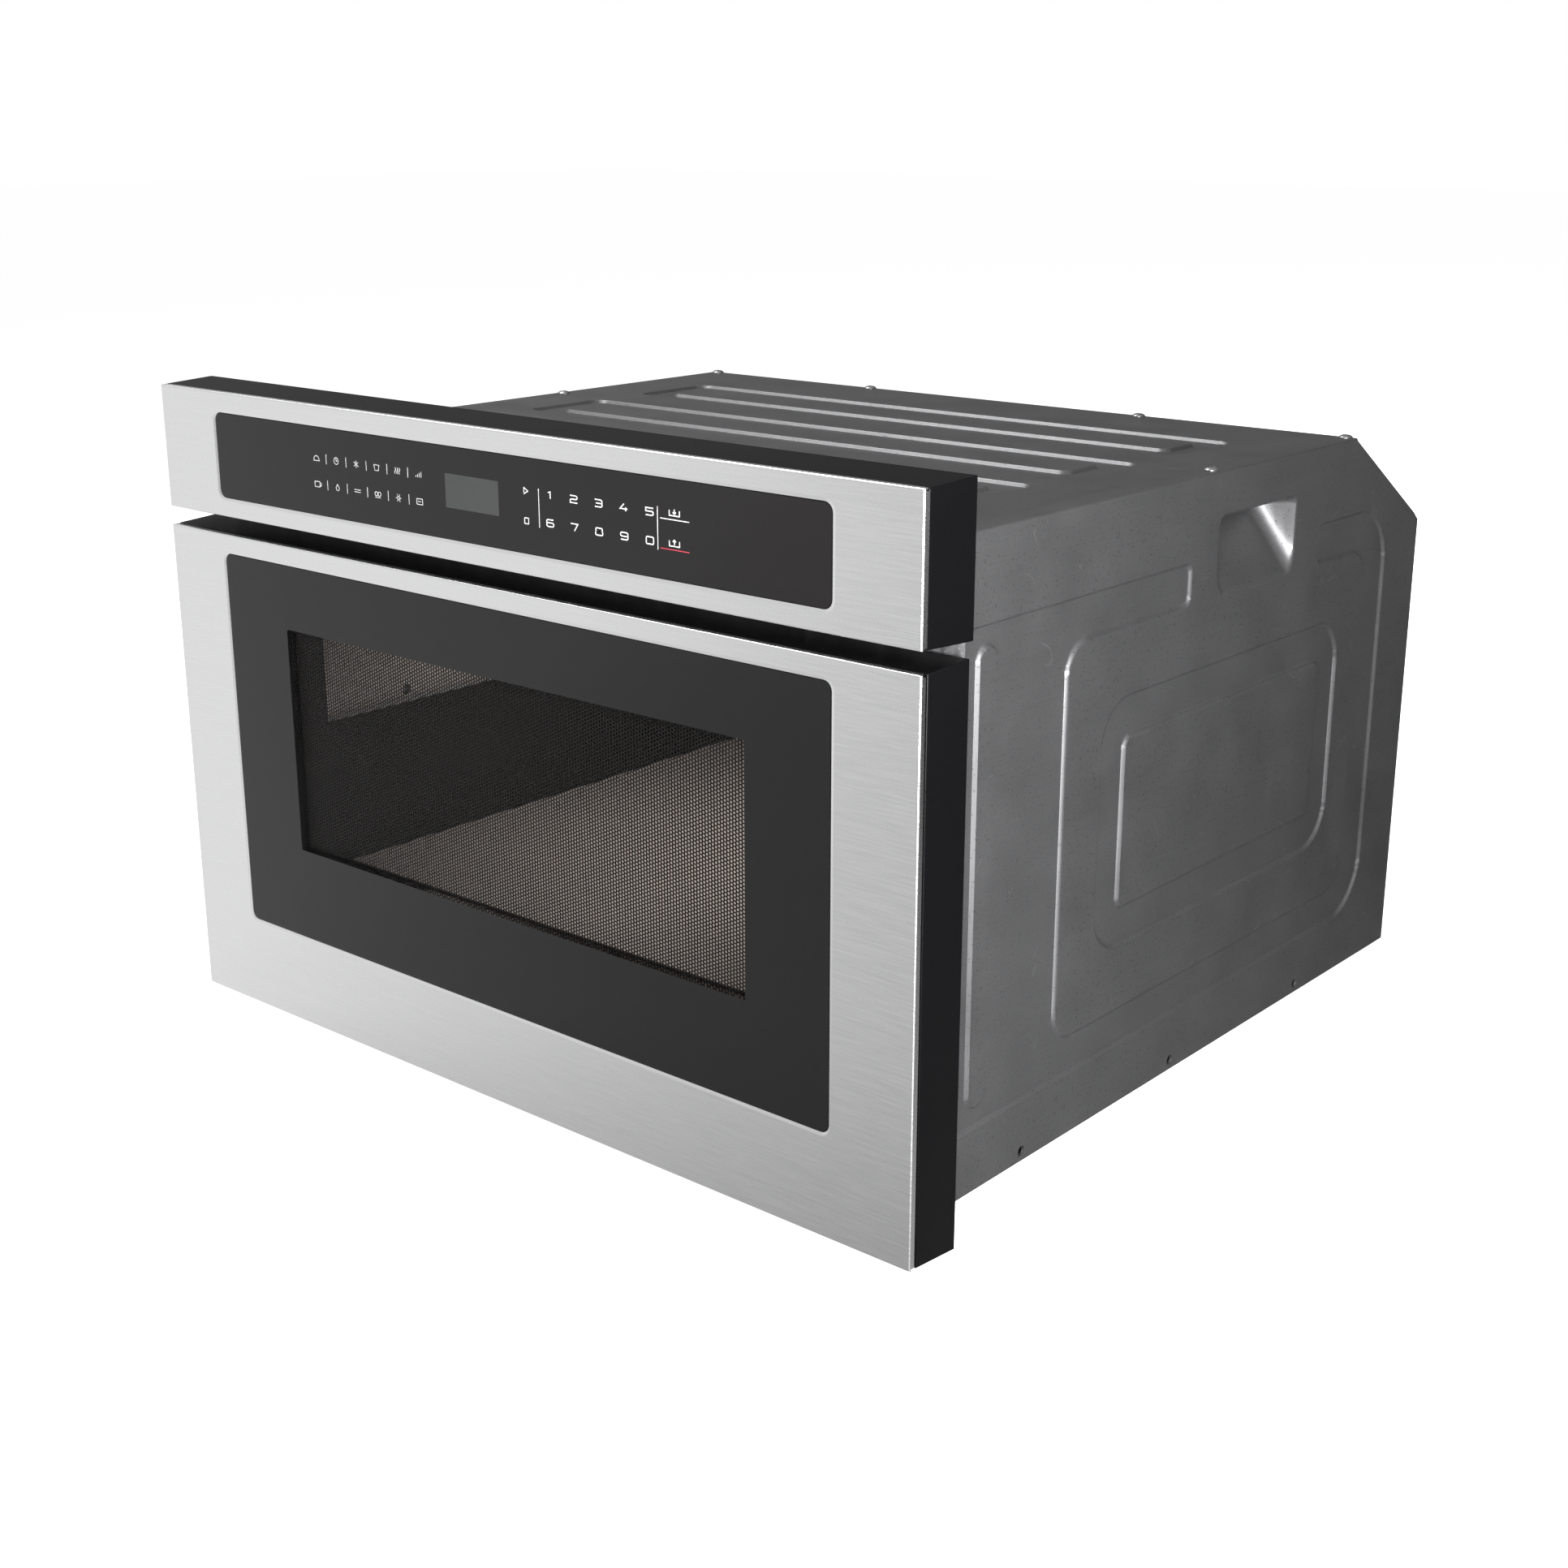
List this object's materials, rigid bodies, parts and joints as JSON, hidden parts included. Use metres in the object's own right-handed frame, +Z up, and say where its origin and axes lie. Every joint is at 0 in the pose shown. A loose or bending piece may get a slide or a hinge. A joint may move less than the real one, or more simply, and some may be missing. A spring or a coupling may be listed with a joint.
{
  "type": "microwave drawer",
  "caption": "Built-in microwave drawer: stainless front with touch panel and dark window, powered pull-out pan, boxed galvanised case behind a mounting flange.",
  "frame": {"origin": "centre of the whole part in plan, at the lowest edge of the door frame", "axes": "+Z up, -Y out of the front towards the user, +X to the right of a person facing the front"},
  "size_m": [0.6096, 0.599, 0.4125],
  "materials": {
    "galvanised_case": "dark galvanised sheet",
    "zinc_flange": "bright spangled zinc",
    "stainless": "fine horizontal brushing",
    "black_frame": "satin moulded black",
    "control_glass": "polished, printed dark behind",
    "door_glass": "polished, dark tinted",
    "dark_plastic": "moulded",
    "cavity_paint": "satin beige enamel",
    "pan_paint": "satin dark enamel",
    "rim_plastic": "moulded grey",
    "tray_glass": "opal glass",
    "screen_metal": "perforated, dark",
    "white_plastic": "moulded",
    "nylon": "moulded nylon",
    "zinc_steel": "zinc plated",
    "aluminium": "stamped",
    "core_steel": "varnished laminations",
    "circuit_board": "solder mask",
    "motor_steel": "drawn steel can",
    "rubber": "moulded soft",
    "mica": "pressed mica sheet",
    "display": "dark display module",
    "screw_zinc": "bright zinc"
  },
  "bodies": {
    "chassis": {"base_panel": "galvanised_case", "side_panel_left": "galvanised_case", "side_panel_right": "galvanised_case", "top_cover": "galvanised_case", "rear_panel": "galvanised_case", "front_frame": "zinc_flange", "case_screws": "screw_zinc", "cord_gland": "dark_plastic", "control_frame": "black_frame", "control_fascia": "stainless", "control_glass": "control_glass", "control_display": "display", "touch_board": "circuit_board", "cavity_shell": "cavity_paint", "ceiling_cover": "mica", "waveguide": "zinc_steel", "antenna_motor": "motor_steel", "magnetron": "aluminium", "hv_transformer": "core_steel", "hv_capacitor": "aluminium", "power_board": "circuit_board", "line_filter": "circuit_board", "cavity_lamp": "white_plastic", "thermal_cutouts": "white_plastic", "fan_shroud": "dark_plastic", "fan_motor": "motor_steel", "air_duct": "white_plastic", "slide_outer_left": "zinc_steel", "slide_outer_right": "zinc_steel", "slide_bracket_left": "zinc_steel", "slide_bracket_right": "zinc_steel", "shaft_bearings": "nylon", "drive_gearbox": "dark_plastic", "drive_motor": "motor_steel", "interlock_brackets": "zinc_steel", "interlock_switches": "dark_plastic"},
    "drawer": {"door_frame": "black_frame", "door_fascia": "stainless", "door_glass": "door_glass", "door_spacer": "dark_plastic", "door_screen": "screen_metal", "door_inner_panel": "pan_paint", "choke_cover": "dark_plastic", "door_bumpers": "rubber", "latch_hooks": "nylon", "drawer_pan": "pan_paint", "pan_rim": "rim_plastic", "floor_tray": "tray_glass", "pan_glides": "nylon", "drawer_arm_left": "zinc_steel", "drawer_arm_right": "zinc_steel", "slide_inner_left": "zinc_steel", "slide_inner_right": "zinc_steel", "drive_rack_left": "nylon", "drive_rack_right": "nylon"},
    "middle_slide_left": {"slide_middle_left": "zinc_steel"},
    "middle_slide_right": {"slide_middle_right": "zinc_steel"},
    "cross_shaft": {"drive_shaft": "zinc_steel"},
    "antenna": {"antenna_rotor": "aluminium"},
    "fan": {"fan_wheel": "nylon"}
  },
  "joints": [
    {"name": "drawer_slide", "type": "slide", "parent": "chassis", "child": "drawer", "axis": [0, -1, 0], "range_m": [0, 0.38]},
    {"name": "middle_slide_left_slide", "type": "slide", "parent": "chassis", "child": "middle_slide_left", "axis": [0, -1, 0], "range_m": [0, 0.19]},
    {"name": "middle_slide_right_slide", "type": "slide", "parent": "chassis", "child": "middle_slide_right", "axis": [0, -1, 0], "range_m": [0, 0.19]},
    {"name": "shaft_turn", "type": "hinge", "parent": "chassis", "child": "cross_shaft", "pos_m": [0, -0.20947, 0.0406], "axis": [1, 0, 0], "range_deg": [0, 1620]},
    {"name": "antenna_spin", "type": "hinge", "parent": "chassis", "child": "antenna", "pos_m": [0, -0.04047, 0.2826], "axis": [0, 0, 1], "continuous": true},
    {"name": "fan_spin", "type": "hinge", "parent": "chassis", "child": "fan", "pos_m": [-0.15, 0.28452, 0.2016], "axis": [0, 1, 0], "continuous": true}
  ],
  "couplings": [
    {"joint": "middle_slide_left_slide", "follows": "drawer_slide", "ratio": 0.5},
    {"joint": "middle_slide_right_slide", "follows": "drawer_slide", "ratio": 0.5},
    {"joint": "shaft_turn", "follows": "drawer_slide", "rad_per_m": 74.074}
  ]
}
